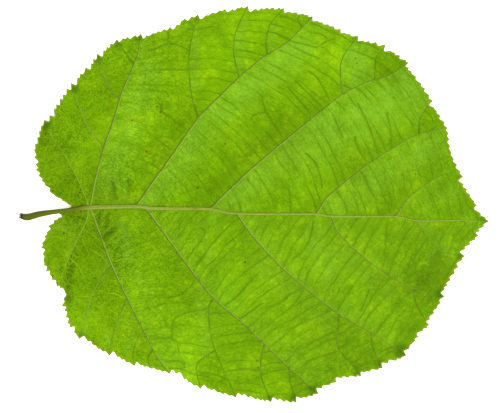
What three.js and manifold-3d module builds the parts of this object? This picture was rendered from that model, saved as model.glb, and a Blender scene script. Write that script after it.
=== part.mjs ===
// A hazel leaf picked with its stalk, lying on a table with its ribbed underside up.
// It grew as one piece, so blade, ribs and stalk are one solid.
// Millimetres, +Z up, +X from the stalk towards the leaf's tip, origin at the bottom centre of its box.

import * as THREE from "three";
import { mergeVertices } from "three/addons/utils/BufferGeometryUtils.js";
import Module from "manifold-3d";

const BLADE_LENGTH = 100; // from the joint with the stalk to the tip
const BLADE_THICKNESS = 0.3;
const PER_CENT = BLADE_LENGTH / 100; // the plan below is in hundredths of the blade's length

// How the blade lies: a low dome with its rim on the table.
const DOME = { height: 6, x: 44, y: 1, halfLength: 57, halfWidth: 50 };
const KEEL = { height: 0.9, width: 9 }; // the two halves slope away from the midrib
const PLEAT = { height: 0.5, width: 5 }; // the blade sags between its side ribs
const RIM_WAVE = { height: 1.3, waves: 5, turn: 0.6, ripples: 9, rippleTurn: 2, rippleShare: 0.6 };
// Folds across the blade: a ridge, or a furrow where the height is negative.
const FOLDS = [
  { from: [-2.5, -9], to: [-6, -22], height: -1.1, width: 2.4 }, // a crease down the right lobe
  { from: [88, 21], to: [91, 7], height: 0.9, width: 3 }, // beyond it the margin rolls under
];
const TABLE_SOFTNESS = 0.25; // how gently the blade meets the table

// The toothed margin: a tip for each large tooth, with smaller teeth between them.
const LARGE_TOOTH_DEPTH = 0.8;
const SMALL_TOOTH_DEPTH = 0.45;
const SMALL_TOOTH_LENGTH = 2;
const NOTCH_AT = 0.25; // the notch's place along a small tooth, so that teeth point to the leaf's tip

// Tips of the large teeth from the stalk round each lobe to the leaf's tip. A third number
// scales the teeth of the stretch that follows, where the margin is smoother or rolled under.
const SINUS = [-0.6, -0.2];
const LEAF_TIP = [100, -3.3];
const LEFT_MARGIN = [
  [-4.4, 0.3, 0.2], [-9.9, 4.1, 0.4], [-13.3, 9.6, 0.6], [-13.6, 15.8, 0.6], [-11.2, 21.9, 1.3],
  [-4.6, 31.2], [-0.9, 35.1], [2, 38.6], [6.9, 42.2, 0.7], [13, 43.6, 1.3], [20.3, 45.3, 0.5],
  [23.9, 47.4, 0.5], [27.2, 48.4, 1.3], [34, 49.8, 0.8], [39.7, 50.5, 1.2], [48.7, 50, 1.2],
  [55.9, 47.9, 1.2], [63, 44.7], [67.3, 43, 1.3], [74.1, 40.8, 1.3], [79.9, 36.4, 1.3], [86, 26.8, 1.2],
  [89.6, 20, 0.2], [90.6, 13.9, 0.2], [93.5, 7.9, 1.7], [96.8, 0.8],
];
const RIGHT_MARGIN = [
  [-6.9, -1.6, 0.3], [-10.2, -4.5, 0.6], [-12, -10, 0.6], [-10.8, -15.8, 0.8], [-8, -19.7, 0.5],
  [-6.1, -21.1, 0.2], [-6.8, -24.6, 0.8], [-4.9, -29.9, 1.2], [-2.4, -32.8, 1.2], [5.1, -36.9, 1.2],
  [11.3, -39.5, 0.8], [20.1, -41.5, 1.2], [27.9, -45.3], [36.7, -47.4, 1.2], [45.5, -48.6, 1.2],
  [51.8, -48.7, 1.3], [57.3, -46.5, 1.6], [61.8, -43.6, 1.2], [68, -42.1, 1.2], [73.4, -40.1, 1.2],
  [79.3, -36.9, 1.2], [82.3, -32.2, 0.8], [85.1, -29.3, 1.2], [88.9, -22.1, 1.2], [93.9, -12.1, 2],
  [97.4, -7, 1.4],
];

// The midrib runs on from the stalk and bends a little where each side rib leaves it.
const STALK_END = [-17.3, -1.9];
const MIDRIB = [
  STALK_END, [-15.4, -2.3], [-12.6, -1.6], [-9, -1], [-4.5, -0.5], [0, 0.1], [6, 0.3], [12.5, 0.35],
  [16, -0.05], [24, -0.1], [30.5, -0.3], [36, -1.3], [46, -1.5], [56.5, -1.55], [60.5, -2.05],
  [69, -2.1], [76.6, -2.15], [82, -3.15], [91, -3.1], [98.8, -3.3],
];
// [place along X, radius]
const MIDRIB_RADII = [
  [-17.3, 0.66], [-15.4, 0.88], [-12.6, 0.8], [-9, 0.64], [-4.5, 0.58], [0, 0.62],
  [16, 0.5], [36, 0.42], [60.5, 0.32], [82, 0.22], [98.8, 0.14],
];
const MIDRIB_LIFT = 0.42; // its centreline stands this share of its radius above the blade
const STALK_REST_HEIGHT = 0.9; // the centreline's height at the swollen end, which lies on the table

const SIDE_RIBS = [
  [[-0.3, 0.6], [-1.2, 3.5], [-3.4, 8.5], [-5.8, 12.8], [-8.5, 16.8], [-10.9, 20.9]],
  [[0.4, 0.6], [1.8, 7.5], [4, 15.5], [6.3, 22], [8.2, 28.5], [10.3, 33.5], [12.3, 38.5], [12.9, 42.3]],
  [[12.2, 0.9], [16, 6.3], [21.5, 14], [27.4, 22.3], [33, 28], [37.6, 32.5], [44, 37.8], [54.7, 46.5]],
  [[31, 0.4], [36, 5.3], [42, 10.8], [57, 23.3], [63.6, 28.4], [70, 31.5], [75.5, 33.3], [79, 35.4]],
  [[57, -1.2], [59.5, 2.5], [63.5, 6], [70, 11], [75.5, 14.6], [82, 18.2], [88.4, 19.8]],
  [[76.9, -1.8], [79, 1.5], [83, 5], [88.3, 8.1], [92.4, 8.1]],
  [[-0.2, -0.5], [-0.8, -3.5], [-3.5, -9], [-5, -12.5], [-6.5, -16], [-7.5, -18.8]],
  [[0.6, -0.6], [3, -7], [5.8, -14.3], [9.8, -22.8], [14, -31], [16.8, -36.6], [19.7, -40.6]],
  [[14.6, -0.4], [18, -5], [26.5, -16.6], [31.5, -22.7], [38, -28.3], [44.5, -34.5], [56.4, -45.6]],
  [[37.3, -1.7], [39.5, -5], [43.5, -9.8], [50, -16.4], [62.8, -26.6], [70, -30.7], [78.6, -36.1]],
  [[60.6, -2.3], [62, -5.5], [65.5, -9.5], [70, -13.3], [76, -17.3], [81.2, -20.3], [87.9, -22]],
  [[82, -3.4], [84, -6.5], [87.3, -10.2], [90.5, -11.4], [92.9, -11.9]],
];
// Finer ribs fork from the side ribs, on the side away from the leaf's tip.
const FORKS = [
  [[3.8, 15.2], [0.3, 19.5], [-1.8, 24], [-4, 29.5]],
  [[7.6, 27.2], [5.3, 29.5], [3.7, 34], [2.4, 37.2]],
  [[27.4, 22.3], [25.6, 28.5], [25, 36], [25.4, 41], [26.9, 46.8]],
  [[37.6, 32.5], [36.3, 38], [36.6, 43.5], [38.9, 49.2]],
  [[44.6, 38.3], [44.3, 42], [45.4, 46], [48, 49]],
  [[63.4, 28.4], [62.8, 33], [63.4, 37.5], [66.3, 42]],
  [[82.5, 18.6], [82.8, 22.5], [85.2, 26]],
  [[5.6, -14.7], [3.2, -17.3], [0.5, -22.3], [-0.7, -27], [-1.9, -31.5]],
  [[9.7, -23], [7.6, -27], [6, -32], [5.1, -36]],
  [[31.3, -22.6], [30, -24.7], [30.2, -30], [31.5, -35.5], [34, -41], [36.2, -46.2]],
  [[43.9, -34.2], [43, -38], [43.3, -43], [45.2, -47.6]],
  [[62.5, -27], [62, -33.5], [62.8, -35.8], [67.2, -41.2]],
  [[70.6, -31.2], [70.9, -34.5], [72.8, -39]],
  [[81.3, -20.7], [81.8, -24], [84.4, -28.4]],
];
const SIDE_RIB_RADIUS = { start: 0.3, end: 0.14 };
const FORK_RADIUS = { start: 0.18, end: 0.12 };
const RIB_LIFT = 0.1; // their centrelines stand this share of their radius above the blade

const GRID_STEP = 3.3; // spacing of the blade's facets
const MIDRIB_SIDES = 8;
const MIDRIB_STEP = 2.6;
const RIB_SIDES = 4;
const RIB_STEP = 4.5;
const CUTTER_DEPTH = 30;

const wasm = await Module();
wasm.setup();

const planPoint = ([x, y]) => new THREE.Vector2(x, y).multiplyScalar(PER_CENT);
const midribPath = new THREE.SplineCurve(MIDRIB.map(planPoint));
const [ribPaths, forkPaths] = [SIDE_RIBS, FORKS].map((lines) =>
  lines.map((points) => new THREE.SplineCurve(points.map(planPoint))),
);
const midribPoints = midribPath.getSpacedPoints(200);
const ribPoints = ribPaths.flatMap((path) => path.getSpacedPoints(60));
const foldLines = FOLDS.map(({ from, to }) => {
  const [start, end] = [from, to].map(planPoint);
  return new THREE.Line3(new THREE.Vector3(start.x, start.y), new THREE.Vector3(end.x, end.y));
});

function distanceTo(points, x, y) {
  let nearest = Infinity;
  for (const point of points) nearest = Math.min(nearest, Math.hypot(point.x - x, point.y - y));
  return nearest;
}

function distanceToLine(line, x, y) {
  const point = new THREE.Vector3(x, y);
  return line.closestPointToPoint(point, true, new THREE.Vector3()).distanceTo(point);
}

// The largest of z and 0, rounded where the blade meets the table, and exactly 0 below it.
function restOnTable(z) {
  if (z <= 0) return 0;
  return z < 2 * TABLE_SOFTNESS ? z ** 2 / (4 * TABLE_SOFTNESS) : z - TABLE_SOFTNESS;
}

// Height of the blade's lower face above the table.
function bladeHeight(x, y) {
  const across = (x - DOME.x * PER_CENT) / (DOME.halfLength * PER_CENT);
  const along = (y - DOME.y * PER_CENT) / (DOME.halfWidth * PER_CENT);
  const outward = Math.hypot(across, along);
  const angle = Math.atan2(along, across);
  const dome = DOME.height * (1 - outward ** 2);
  const keel = KEEL.height * Math.exp(-distanceTo(midribPoints, x, y) / KEEL.width);
  const pleat = PLEAT.height * (Math.exp(-((distanceTo(ribPoints, x, y) / PLEAT.width) ** 2)) - 0.5);
  const wave =
    RIM_WAVE.height *
    outward ** 3 *
    (Math.sin(RIM_WAVE.waves * angle + RIM_WAVE.turn) +
      RIM_WAVE.rippleShare * Math.sin(RIM_WAVE.ripples * angle + RIM_WAVE.rippleTurn));
  const folds = FOLDS.map(
    ({ height, width }, i) => height * Math.exp(-((distanceToLine(foldLines[i], x, y) / width) ** 2)),
  );
  return restOnTable(folds.reduce((sum, fold) => sum + fold, dome + keel + pleat + wave));
}

// Outline points along one side of the leaf, from the stalk to the tip. inward is +1 or -1.
function toothedSide(tips, inward) {
  const spline = new THREE.SplineCurve([...tips, LEAF_TIP].map(planPoint));
  const outline = [];
  tips.forEach(([, , share = 1], i) => {
    const at = (step) => (i + step) / tips.length;
    const length = spline.getPoint(at(0)).distanceTo(spline.getPoint(at(1)));
    const teeth = Math.max(1, Math.round(length / SMALL_TOOTH_LENGTH));
    const cut = (step, depth) => {
      const point = spline.getPoint(at(step));
      const heading = spline.getTangent(at(step));
      const cutDepth = share * (LARGE_TOOTH_DEPTH * (1 - step) ** 1.5 + depth);
      return point.add(new THREE.Vector2(-heading.y, heading.x).multiplyScalar(inward * cutDepth));
    };
    outline.push(spline.getPoint(at(0)));
    for (let tooth = 0; tooth < teeth; tooth++) {
      if (tooth > 0) outline.push(cut(tooth / teeth, 0));
      const unevenness = 1 + 0.35 * Math.sin(5 * i + 3 * tooth);
      outline.push(cut((tooth + NOTCH_AT) / teeth, SMALL_TOOTH_DEPTH * unevenness));
    }
  });
  return outline;
}

function bladeOutline() {
  const left = toothedSide(LEFT_MARGIN, -1);
  const right = toothedSide(RIGHT_MARGIN, 1);
  return [planPoint(SINUS), ...right, planPoint(LEAF_TIP), ...left.reverse()];
}

function solidFrom(geometry) {
  const bare = geometry.clone();
  bare.deleteAttribute("normal");
  bare.deleteAttribute("uv");
  const merged = mergeVertices(bare, 1e-4);
  return new wasm.Manifold(
    new wasm.Mesh({
      numProp: 3,
      vertProperties: merged.attributes.position.array,
      triVerts: new Uint32Array(merged.index.array),
    }),
  );
}

function geometryFrom(solid) {
  const mesh = solid.getMesh();
  const geometry = new THREE.BufferGeometry();
  geometry.setAttribute("position", new THREE.BufferAttribute(mesh.vertProperties, 3));
  geometry.setIndex(new THREE.BufferAttribute(mesh.triVerts, 1));
  return geometry;
}

// A thin sheet that follows bladeHeight, cut to the toothed outline.
function blade() {
  const outline = bladeOutline();
  const box = new THREE.Box2().setFromPoints(outline);
  const size = box.getSize(new THREE.Vector2()).addScalar(GRID_STEP);
  const centre = box.getCenter(new THREE.Vector2());
  const sheet = new THREE.BoxGeometry(
    size.x, size.y, BLADE_THICKNESS,
    Math.round(size.x / GRID_STEP), Math.round(size.y / GRID_STEP), 1,
  );
  sheet.translate(centre.x, centre.y, BLADE_THICKNESS / 2);
  const corners = sheet.attributes.position;
  for (let i = 0; i < corners.count; i++) {
    corners.setZ(i, corners.getZ(i) + bladeHeight(corners.getX(i), corners.getY(i)));
  }
  const cutter = new THREE.ExtrudeGeometry(new THREE.Shape(outline), {
    depth: CUTTER_DEPTH,
    bevelEnabled: false,
  });
  cutter.translate(0, 0, -CUTTER_DEPTH / 2);
  return solidFrom(sheet).intersect(solidFrom(cutter));
}

// A round rod that follows a path in plan. radiusAt and heightAt take a point on the path and
// the share of the path before it.
function rod(path, radiusAt, heightAt, step, sides) {
  const count = Math.round(path.getLength() / step);
  const stations = path.getSpacedPoints(count);
  const profile = stations.map((point, i) => new THREE.Vector2(radiusAt(point, i / count), i));
  const lathe = new THREE.LatheGeometry(
    [new THREE.Vector2(0, 0), ...profile, new THREE.Vector2(0, count)],
    sides,
  );
  const corners = lathe.attributes.position;
  for (let i = 0; i < corners.count; i++) {
    const station = Math.round(corners.getY(i));
    const point = stations[station];
    const heading = path.getTangentAt(station / count);
    const aside = corners.getX(i);
    corners.setXYZ(
      i,
      point.x + heading.y * aside,
      point.y - heading.x * aside,
      heightAt(point, station / count) + corners.getZ(i),
    );
  }
  return solidFrom(lathe);
}

const upperFace = (point) => bladeHeight(point.x, point.y) + BLADE_THICKNESS;

function midribRadius(point) {
  const x = point.x / PER_CENT;
  const next = Math.max(1, MIDRIB_RADII.findIndex(([place]) => place >= x));
  const [[x0, r0], [x1, r1]] = MIDRIB_RADII.slice(next - 1, next + 1);
  return THREE.MathUtils.mapLinear(x, x0, x1, r0, r1) * PER_CENT;
}

// Over the blade the midrib rides on its upper face. Past the joint the stalk comes down to the table.
function midribHeight(point) {
  if (point.x >= 0) return upperFace(point) + MIDRIB_LIFT * midribRadius(point);
  const joint = planPoint([0, 0]);
  const jointHeight = upperFace(joint) + MIDRIB_LIFT * midribRadius(joint);
  const down = THREE.MathUtils.smoothstep(-point.x, 0, -STALK_END[0] * PER_CENT);
  return THREE.MathUtils.lerp(jointHeight, STALK_REST_HEIGHT, down);
}

function stalkAndMidrib() {
  return rod(midribPath, midribRadius, midribHeight, MIDRIB_STEP, MIDRIB_SIDES);
}

function rib(path, { start, end }) {
  const radiusAt = (point, along) => THREE.MathUtils.lerp(start, end, along);
  const heightAt = (point, along) => upperFace(point) + RIB_LIFT * radiusAt(point, along);
  return rod(path, radiusAt, heightAt, RIB_STEP, RIB_SIDES);
}

function hazelLeaf() {
  const ribs = [
    stalkAndMidrib(),
    ...ribPaths.map((path) => rib(path, SIDE_RIB_RADIUS)),
    ...forkPaths.map((path) => rib(path, FORK_RADIUS)),
  ];
  const solid = ribs.reduce((leaf, part) => leaf.add(part), blade());
  const geometry = geometryFrom(solid);
  geometry.computeBoundingBox();
  const { min, max } = geometry.boundingBox;
  const mesh = new THREE.Mesh(
    geometry,
    new THREE.MeshStandardMaterial({ color: 0x79ab14, roughness: 0.6, metalness: 0 }),
  );
  mesh.name = "hazel_leaf";
  mesh.position.set(-(min.x + max.x) / 2, -(min.y + max.y) / 2, -min.z);
  return mesh;
}

const leaf = new THREE.Group();
leaf.add(hazelLeaf());

export default leaf;
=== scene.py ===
"""A hazel leaf, picked and laid on a table with its ribbed underside up.

The leaf grew as one piece, so one closed mesh holds its blade, its ribs and veins, and its stalk.
Places in plan and heights are in hundredths of the blade's length. UNIT turns them into metres.
"""

import math

import bpy
import numpy as np
from bpy.props import FloatProperty, FloatVectorProperty, PointerProperty
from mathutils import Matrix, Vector
from mathutils.geometry import delaunay_2d_cdt
from mathutils.kdtree import KDTree


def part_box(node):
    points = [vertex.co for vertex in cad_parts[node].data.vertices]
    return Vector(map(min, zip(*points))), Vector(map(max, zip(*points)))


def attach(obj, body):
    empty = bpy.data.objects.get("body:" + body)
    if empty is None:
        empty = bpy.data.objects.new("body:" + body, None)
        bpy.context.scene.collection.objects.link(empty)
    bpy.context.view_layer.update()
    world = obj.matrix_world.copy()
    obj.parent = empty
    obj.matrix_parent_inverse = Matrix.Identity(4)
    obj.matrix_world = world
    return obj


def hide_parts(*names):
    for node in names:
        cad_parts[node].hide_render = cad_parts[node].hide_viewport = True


bl_info = {
    "name": "Hazel leaf",
    "version": (1, 0, 0),
    "blender": (4, 5, 0),
    "location": "View3D > Sidebar > Hazel leaf",
    "description": "Builds a hazel leaf with its ribs, veins and stalk, and a plain stage for it",
    "category": "Add Mesh",
}

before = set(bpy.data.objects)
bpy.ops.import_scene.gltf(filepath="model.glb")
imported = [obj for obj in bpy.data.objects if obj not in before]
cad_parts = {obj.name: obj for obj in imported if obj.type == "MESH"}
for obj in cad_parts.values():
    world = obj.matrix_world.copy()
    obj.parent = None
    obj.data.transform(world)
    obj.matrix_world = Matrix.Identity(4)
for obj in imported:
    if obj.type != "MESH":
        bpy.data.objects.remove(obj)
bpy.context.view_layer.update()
LEAF_LOW, LEAF_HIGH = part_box("hazel_leaf")

# The leaf's box in plan: X from the stalk's cut end to the tip, Y from the right side to the left.
PLAN_LOW = Vector((-17.44, -48.7))
PLAN_HIGH = Vector((100, 50.5))
UNIT = (LEAF_HIGH.x - LEAF_LOW.x) / (PLAN_HIGH.x - PLAN_LOW.x)

# ---------------------------------------------------------------------------------------------
# The leaf's plan and lie
# ---------------------------------------------------------------------------------------------

# How the blade lies: a low dome with its rim on the table.
DOME = {"height": 6, "x": 44, "y": 1, "half_length": 57, "half_width": 50}
KEEL = {"height": 0.9, "width": 9}
PLEAT = {"height": 0.5, "width": 5}
RIM_WAVE = {"height": 1.3, "waves": 5, "turn": 0.6}
RIM_RIPPLE = {"height": 0.78, "waves": 9, "turn": 2}
TABLE_SOFTNESS = 0.25

# Folds across the blade: from, to, height and width. A furrow has a height below 0.
FOLDS = [
    ((-2.5, -9), (-6, -22), -1.1, 2.4),
    ((88, 21), (91, 7), 0.9, 3),
]
# Small puckers beside the base of the midrib.
PUCKERS = [
    ((6.2, 1.6), (8.2, 8), 0.4, 0.8),
    ((9.6, 1.6), (11.6, 7.4), 0.3, 0.7),
    ((3.4, 2), (4.8, 7), 0.25, 0.6),
    ((6.6, -1.4), (9.4, -8.6), 0.35, 0.9),
    ((9.8, -1.6), (11.4, -6.6), 0.3, 0.7),
    ((3.2, -2), (5.4, -6.8), 0.25, 0.7),
    ((17.6, -2.2), (19.8, -7.4), 0.2, 0.7),
]

# Tips of the large teeth from the stalk round each lobe to the leaf's tip. A third number
# scales the large tooth of the stretch that follows, and a fourth its small teeth.
SINUS = (-0.6, -0.2)
LEAF_TIP = (100, -3.3)
LEFT_MARGIN = [
    (-4.4, 0.3, 0.2, 0.4), (-9.9, 4.1, 0.3, 0.9), (-13.3, 9.6, 0.5, 1.2), (-13.6, 15.8, 0.6, 1.2),
    (-11.2, 21.9, 0.9, 1.8), (-4.6, 31.2, 0.9, 1.8), (-0.9, 35.1, 1, 1.6), (2, 38.6, 0.8, 1.5),
    (6.9, 42.2, 0.5, 1), (13, 43.6, 1.3, 0.9), (20.3, 45.3, 0.5), (23.9, 47.4, 0.5), (27.2, 48.4, 1.3),
    (34, 49.8, 0.8), (39.7, 50.5, 1.2), (48.7, 50, 1.2), (55.9, 47.9, 1.2), (63, 44.7), (67.3, 43, 1.3),
    (74.1, 40.8, 1.3), (79.9, 36.4, 1.3), (86, 26.8, 1.2), (89.6, 20, 0.15), (90.6, 13.9, 0.15),
    (93.5, 7.9, 1.3), (96.8, 0.8, 0.9),
]
RIGHT_MARGIN = [
    (-6.9, -1.6, 0.4), (-10.2, -4.5, 0.7), (-12, -10, 0.7), (-10.8, -15.8, 0.8), (-8, -19.7, 0.5),
    (-6.1, -21.1, 0.2), (-6.8, -24.6, 0.8), (-4.9, -29.9, 1.2), (-2.4, -32.8, 1.2), (5.1, -36.9, 1.2),
    (11.3, -39.5, 0.8), (20.1, -41.5, 1.2), (27.9, -45.3), (36.7, -47.4, 1.2), (45.5, -48.6, 1.2),
    (51.8, -48.7, 1.3), (57.3, -46.5, 1.6), (61.8, -43.6, 1.2), (68, -42.1, 1.2), (73.4, -40.1, 1.2),
    (79.3, -36.9, 1.2), (82.3, -32.2, 0.8), (85.1, -29.3, 1.2), (88.9, -22.1, 1.2), (93.9, -12.1, 1.6),
    (97.4, -7, 1.1),
]
LARGE_TOOTH = {"depth": 0.75, "fade": 1.5, "rise": 1.5}
SMALL_TOOTH = {"depth": 0.44, "length": 1.6, "lean": 0.08}
# The least and most of a small tooth, in shares of the usual length and depth.
TOOTH_LENGTHS = (0.6, 1.4)
TOOTH_SIZES = (0.5, 1.4)
MARGIN_SEED = 3
# Share of the way to the next tooth, and share of the depth: a steep drop, then a round back.
TOOTH_SHAPE = [(0, 0), (0.07, 0.3), (0.18, 0.75), (0.3, 1), (0.45, 0.88), (0.65, 0.5), (0.85, 0.14)]

# The midrib runs on from the stalk and bends a little where each side rib leaves it.
MIDRIB = [
    (-17.3, -1.9), (-15.4, -2.3), (-12.6, -1.6), (-9, -1), (-4.5, -0.5), (0, 0.1), (6, 0.3),
    (12.5, 0.35), (16, -0.05), (24, -0.1), (30.5, -0.3), (36, -1.3), (46, -1.5), (56.5, -1.55),
    (60.5, -2.05), (69, -2.1), (76.6, -2.15), (82, -3.15), (91, -3.1), (98.8, -3.3),
]
MIDRIB_RADII = [
    (-17.3, 0.66), (-15.4, 0.88), (-12.6, 0.78), (-9, 0.62), (-4.5, 0.55), (0, 0.54),
    (16, 0.41), (36, 0.3), (60.5, 0.23), (82, 0.16), (98.8, 0.09),
]
MIDRIB_LIFT = 0.25
STALK_REST_HEIGHT = 0.9
STALK_LENGTH = 17.3
# The stalk's outline starts this far from where the margin ends.
JOIN_GAP = 0.2
SCAR_REACH = 0.15
# The stalk's torn end: each point's place beyond the last station, and its share of the radius.
STALK_SCAR = [(0.1, 0.95), (-0.35, 0.6), (0.12, 0.3), (-0.5, -0.1), (0.05, -0.5), (-0.3, -0.9)]

# Side ribs from the base to the tip, each with the finer ribs that fork from it.
LEFT_RIBS = [
    ([(-0.3, 0.6), (-1.2, 3.5), (-3.4, 8.5), (-5.8, 12.8), (-8.5, 16.8), (-10.9, 20.9)], []),
    ([(0.4, 0.6), (1.8, 7.5), (4, 15.5), (6.3, 22), (8.2, 28.5), (10.3, 33.5), (12.3, 38.5),
      (12.9, 42.8)],
     [([(3.8, 15.2), (0.3, 19.5), (-1.8, 24), (-4.2, 30.4)], []),
      ([(7.6, 27.2), (5.3, 29.5), (3.7, 34), (2.1, 38)], []),
      ([(11, 36.3), (9, 38.8), (7.3, 41.2)], [])]),
    ([(12.2, 0.9), (16, 6.3), (21.5, 14), (27.4, 22.3), (33, 28), (37.6, 32.5), (44, 37.8),
      (49.5, 41.2), (55.5, 47.3)],
     [([(27.4, 22.3), (25.6, 28.5), (25, 36), (25.4, 41), (27, 47.8)], []),
      ([(37.6, 32.5), (36.3, 38), (36.6, 43.5), (39.3, 49.8)], []),
      ([(44.6, 38.3), (44.3, 42), (45.4, 46), (48.3, 49.4)], []),
      ([(53.3, 45.2), (52.2, 47), (52.8, 48.2)], [])]),
    ([(31, 0.4), (36, 5.3), (42, 10.8), (57, 23.3), (63.6, 28.4), (70, 31.5), (75.5, 33.3),
      (79.4, 35.8)],
     [([(63.4, 28.4), (62.8, 33), (63.4, 37.5), (66.8, 42.4)], []),
      ([(71.5, 32.2), (71.8, 37.5), (73.8, 40.2)], [])]),
    ([(57, -1.2), (59.5, 2.5), (63.5, 6), (70, 11), (75.5, 14.6), (82, 18.2), (89, 19.9)],
     [([(82.5, 18.6), (82.8, 22.5), (85.6, 26.3)], [])]),
    ([(76.9, -1.8), (79, 1.5), (83, 5), (88.3, 8.1), (93, 8)], []),
    ([(92.5, -3), (94.6, -0.2), (96.3, 0.4)], []),
]
RIGHT_RIBS = [
    ([(-0.2, -0.5), (-0.8, -3.5), (-3.5, -9), (-5, -12.5), (-6.5, -16), (-7.7, -19.2)], []),
    ([(0.6, -0.6), (3, -7), (5.8, -14.3), (9.8, -22.8), (14, -31), (16.8, -36.6), (20, -41)],
     [([(5.6, -14.7), (3.2, -17.3), (0.5, -22.3), (-0.7, -27), (-2.2, -32.1)], []),
      ([(9.7, -23), (7.6, -27), (6, -32), (5.1, -36.4)], []),
      ([(13.8, -30.9), (11.9, -33.2), (11, -36.5), (11.3, -38.9)], []),
      ([(16, -35.5), (14.8, -37.4), (15.2, -39.6)], [])]),
    ([(14.6, -0.4), (18, -5), (26.5, -16.6), (31.5, -22.7), (38, -28.3), (44.5, -34.5),
      (56.8, -46)],
     [([(31.3, -22.6), (30, -24.7), (30.2, -30), (31.5, -35.5), (34, -41), (36.5, -46.8)],
       [([(31.5, -35.6), (26.9, -39.2), (27.8, -44.7)], [])]),
      ([(43.9, -34.2), (43, -38), (43.3, -43), (45.4, -48)], []),
      ([(50.1, -39.8), (50.3, -43.5), (51.7, -48)], [])]),
    ([(37.3, -1.7), (39.5, -5), (43.5, -9.8), (50, -16.4), (62.8, -26.6), (70, -30.7),
      (79, -36.5)],
     [([(62.5, -27), (62, -33.5), (62.8, -35.8), (67.7, -41.6)], []),
      ([(70.6, -31.2), (70.9, -34.5), (73.1, -39.5)], [])]),
    ([(60.6, -2.3), (62, -5.5), (65.5, -9.5), (70, -13.3), (76, -17.3), (81.2, -20.3),
      (88.4, -22.1)],
     [([(81.3, -20.7), (81.8, -24), (84.7, -28.9)], [])]),
    ([(82, -3.4), (84, -6.5), (87.3, -10.2), (90.5, -11.4), (93.4, -12)], []),
    ([(94, -3.5), (95.5, -5.4), (97, -6.7)], []),
]
# The stronger of the cross veins between the ribs. The rest are drawn by ladder().
STRONG_CROSS_VEINS = [
    [(12.9, 39.2), (16.1, 39.6), (19.7, 41), (22.5, 40.6), (24.9, 39.4)],
    [(19.7, 41), (19.9, 43.2), (19.5, 44.4)],
    [(10.1, 32.7), (13.3, 33.9), (16.5, 34.6), (20.5, 34.5), (24.9, 34.5)],
    [(8.2, 25.9), (12.1, 26.5), (15.7, 27.1)],
    [(7, 21.7), (9.7, 22), (12.5, 21.5), (14.1, 20.3), (14.4, 19.1), (17.3, 17.1), (20.5, 14.5)],
    [(18.1, 25.9), (18.3, 24.1), (21.3, 21.9), (24.9, 19.1)],
    [(24.9, 44.8), (26.5, 44.6), (30.9, 45.4)],
    [(50.5, 41.6), (53.7, 40.9), (56.9, 40.2), (59.3, 41.6), (61.3, 42.2)],
    [(49.7, 30.3), (52.1, 27.3), (54.9, 24.1), (55.3, 22.5)],
    [(54.9, 34.1), (56.7, 32.9), (58.5, 30.1), (60.1, 26.9)],
    [(51.7, 31.7), (54.5, 28.9), (57.7, 25.7), (58.5, 24.5)],
    [(60.9, 23.3), (62.3, 20.1), (63.3, 17.7)],
    [(67.2, 26.1), (69.2, 22.1), (70.8, 18.1), (72.2, 13.7)],
    [(74.4, 23.7), (75.2, 20.1), (75.6, 15.3)],
    [(43.3, 27.1), (44.3, 23.9), (46.3, 20.9), (48.1, 18.1)],
    [(44.3, 23.9), (41.5, 23.3), (40.1, 21.7)],
    [(54.1, 13.7), (56.5, 11.3), (57.7, 8.2), (58.3, 5)],
    [(49.7, 5), (50.3, 3), (50.4, -1)],
    [(66.4, 17.7), (67.2, 14.9), (69.2, 11.7)],
    [(6.6, -13.3), (8.9, -12.7), (12.1, -12.8)],
    [(8.1, -17.5), (10.5, -17.1), (14.1, -16.7), (15.7, -16.5)],
    [(9.3, -20), (12.1, -19.5), (15.3, -19.3), (19.7, -19.5)],
    [(11.1, -23.3), (14.5, -22.7), (18.5, -22.3), (22.1, -21.9), (25.3, -19.7), (26.5, -17.9)],
    [(15.5, -32.1), (20.1, -32.4), (20.9, -30.5), (21, -28.3), (23.3, -26.5), (29.7, -25.1)],
    [(20.1, -32.4), (21.7, -33.3), (22.3, -35.1), (22.5, -36.5)],
    [(19.1, -38.3), (22.5, -38.3), (23.9, -39.1), (23.5, -41)],
    [(0.2, -22.2), (-3.6, -22.2), (-5.4, -23.9)],
    [(-5, -12.3), (-2.6, -14.7), (-1.8, -16.3)],
    [(-2.6, -6), (-0.6, -10), (0, -11.6)],
    [(34.1, -24.3), (37.6, -21.5), (39.6, -19.1), (42.7, -15.9)],
    [(37.7, -27.7), (40.9, -25.5), (42.9, -23.9)],
    [(49.7, -25.5), (51.7, -23.5), (53.7, -20.3)],
    [(56.1, -3.2), (55.3, -7.2), (53.7, -10.4), (50.9, -12.7)],
    [(74.4, -4), (74.2, -8.8), (73.8, -11.6)],
    [(70, -20.3), (69.2, -22.7), (68, -25.5)],
    [(87.6, -10.4), (87.8, -12.7), (89.6, -15.1)],
    [(61.7, -35.9), (59.3, -36.7), (55.7, -37.9), (52.9, -39.9)],
]

# Radii at the start and the end, and the share of the radius that stands proud.
RIB_SIZES = {
    "side": (0.25, 0.11, 0.8),
    "fork": (0.17, 0.09, 0.7),
    "cross": (0.09, 0.07, 0.25),
}
STRONG_VEIN = 1.25
# A side rib is thinner the shorter it is, and the nearer to the leaf's tip it starts.
RIB_TAPER = {"least": 0.45, "more": 0.55, "long": 45, "end": 170}
RIB_FOOT = {"wider": 0.8, "length": 1.2}
# Rungs between the ribs: spacing, how far each may stray, the bends along it and its bow. A rung is
# left out when it is too short, or when too great a share of it runs near a stronger vein.
RUNGS = {"spacing": 2.8, "stray": 0.3, "bends": 4, "sway": 0.012, "bow": 0.05}
RUNG_SIZES = (0.5, 1.4)
SHORTEST_RUNG = 1.2
NEAR_STRONG = {"distance": 0.9, "share": 0.3}
LOBE_TEETH = 5
VEIN_SEED = 7

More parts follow.
